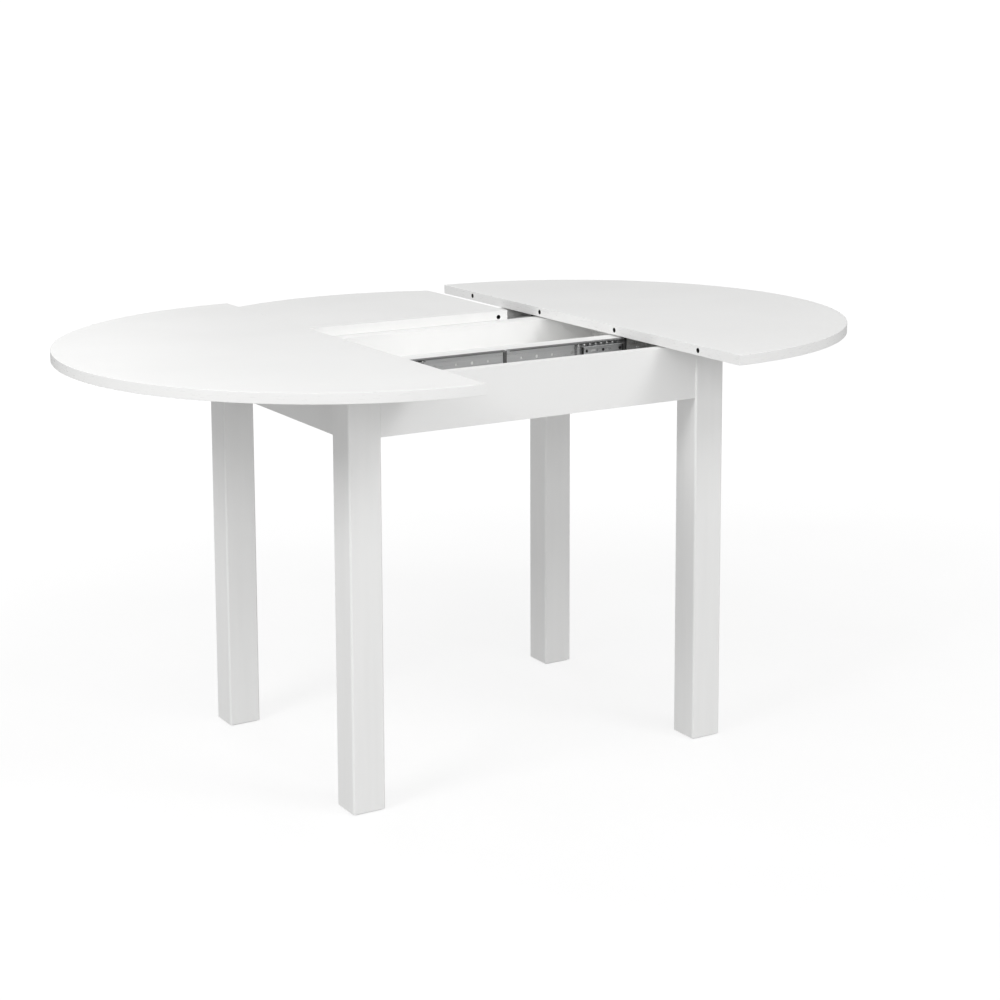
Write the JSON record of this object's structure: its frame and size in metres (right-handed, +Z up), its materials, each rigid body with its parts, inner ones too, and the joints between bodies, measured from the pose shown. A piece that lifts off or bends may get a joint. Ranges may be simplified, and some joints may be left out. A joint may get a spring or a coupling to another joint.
{
  "type": "extendable dining table",
  "caption": "Round white dining table whose two half tops slide apart on ball-bearing slides over a four-legged frame with an inner tray and a lift-in leaf.",
  "frame": {"origin": "on the floor, under the middle of the pulled-out table", "axes": "+X along the slides from the left half to the right half, +Y away from the viewer, +Z up"},
  "size_m": [1.4858, 1, 0.75],
  "materials": {
    "leg_lacquer": "solid beech legs, sprayed satin white",
    "frame_lacquer": "white melamine-faced board, satin",
    "top_board": "white melamine-faced particle board, fine satin grain",
    "tray_board": "white melamine-faced board, satin",
    "edge_band": "white ABS edge banding, satin",
    "glide_plastic": "white nylon glide",
    "pin_plastic": "white nylon pin",
    "buffer_plastic": "black moulded buffer",
    "black_rivet": "blackened rivet",
    "slide_steel": "zinc-plated rolled steel",
    "cage_steel": "zinc-plated cage and bright balls",
    "plate_steel": "zinc-plated pressed plate",
    "screw_steel": "zinc-plated screws, bolts and nuts",
    "dowel_wood": "beech dowel"
  },
  "bodies": {
    "frame": {"leg_front_left": "leg_lacquer", "leg_front_right": "leg_lacquer", "leg_back_left": "leg_lacquer", "leg_back_right": "leg_lacquer", "foot_glides": "glide_plastic", "apron_front": "frame_lacquer", "apron_back": "frame_lacquer", "apron_left": "frame_lacquer", "apron_right": "frame_lacquer", "corner_plates": "plate_steel", "hanger_bolts": "screw_steel", "hanger_nuts": "screw_steel", "plate_screws": "screw_steel", "slide_rail_front": "frame_lacquer", "slide_rail_back": "frame_lacquer", "rail_dowels": "dowel_wood", "tray_side_front": "tray_board", "tray_side_back": "tray_board", "tray_bottom": "tray_board", "leaf_ledge_front": "frame_lacquer", "leaf_ledge_back": "frame_lacquer", "leaf_middle": "top_board", "leaf_front": "top_board", "stored_leaf_pins": "pin_plastic", "channel_front_left": "slide_steel", "channel_front_right": "slide_steel", "channel_back_left": "slide_steel", "channel_back_right": "slide_steel", "channel_screws_all": "screw_steel", "channel_buffers": "buffer_plastic"},
    "left_top": {"top_left": "top_board", "edge_band_left": "edge_band", "inner_members_left": "slide_steel", "end_buffers_left": "buffer_plastic", "slide_angle_front_left": "plate_steel", "slide_angle_back_left": "plate_steel", "angle_screws_left": "screw_steel", "locating_pins_left": "pin_plastic"},
    "right_top": {"top_right": "top_board", "edge_band_right": "edge_band", "inner_members_right": "slide_steel", "end_buffers_right": "buffer_plastic", "slide_angle_front_right": "plate_steel", "slide_angle_back_right": "plate_steel", "angle_screws_right": "screw_steel"},
    "left_middle_members": {"middle_member_front_left": "slide_steel", "middle_member_back_left": "slide_steel", "member_stops_left": "black_rivet"},
    "right_middle_members": {"middle_member_front_right": "slide_steel", "middle_member_back_right": "slide_steel", "member_stops_right": "black_rivet"},
    "left_ball_cages": {"ball_cages_left": "cage_steel"},
    "right_ball_cages": {"ball_cages_right": "cage_steel"},
    "left_inner_cages": {"inner_cages_left": "cage_steel"},
    "right_inner_cages": {"inner_cages_right": "cage_steel"},
    "leaf": {"leaf_back": "top_board", "leaf_back_band": "edge_band", "leaf_back_pin": "pin_plastic"}
  },
  "joints": [
    {"name": "left_top_slide", "type": "slide", "parent": "frame", "child": "left_top", "axis": [1, 0, 0], "range_m": [0, 0.2428]},
    {"name": "right_top_slide", "type": "slide", "parent": "frame", "child": "right_top", "axis": [-1, 0, 0], "range_m": [0, 0.2428]},
    {"name": "left_middle_slide", "type": "slide", "parent": "frame", "child": "left_middle_members", "axis": [1, 0, 0], "range_m": [0, 0.1653]},
    {"name": "left_cage_slide", "type": "slide", "parent": "frame", "child": "left_ball_cages", "axis": [1, 0, 0], "range_m": [0, 0.08275]},
    {"name": "left_inner_cage_slide", "type": "slide", "parent": "frame", "child": "left_inner_cages", "axis": [1, 0, 0], "range_m": [0, 0.20415]},
    {"name": "right_middle_slide", "type": "slide", "parent": "frame", "child": "right_middle_members", "axis": [-1, 0, 0], "range_m": [0, 0.15414]},
    {"name": "right_cage_slide", "type": "slide", "parent": "frame", "child": "right_ball_cages", "axis": [-1, 0, 0], "range_m": [0, 0.07717]},
    {"name": "right_inner_cage_slide", "type": "slide", "parent": "frame", "child": "right_inner_cages", "axis": [-1, 0, 0], "range_m": [0, 0.19857]},
    {"name": "leaf_lift", "type": "slide", "parent": "left_top", "child": "leaf", "axis": [0, 0, 1], "range_m": [0, 0.19444]}
  ],
  "couplings": [
    {"joint": "right_top_slide", "follows": "left_top_slide", "ratio": 1},
    {"joint": "left_middle_slide", "follows": "left_top_slide", "ratio": 0.68},
    {"joint": "left_cage_slide", "follows": "left_top_slide", "ratio": 0.34},
    {"joint": "left_inner_cage_slide", "follows": "left_top_slide", "ratio": 0.84},
    {"joint": "right_middle_slide", "follows": "left_top_slide", "ratio": 0.634},
    {"joint": "right_cage_slide", "follows": "left_top_slide", "ratio": 0.317},
    {"joint": "right_inner_cage_slide", "follows": "left_top_slide", "ratio": 0.817},
    {"joint": "leaf_lift", "follows": "left_top_slide", "ratio": 0.8}
  ]
}
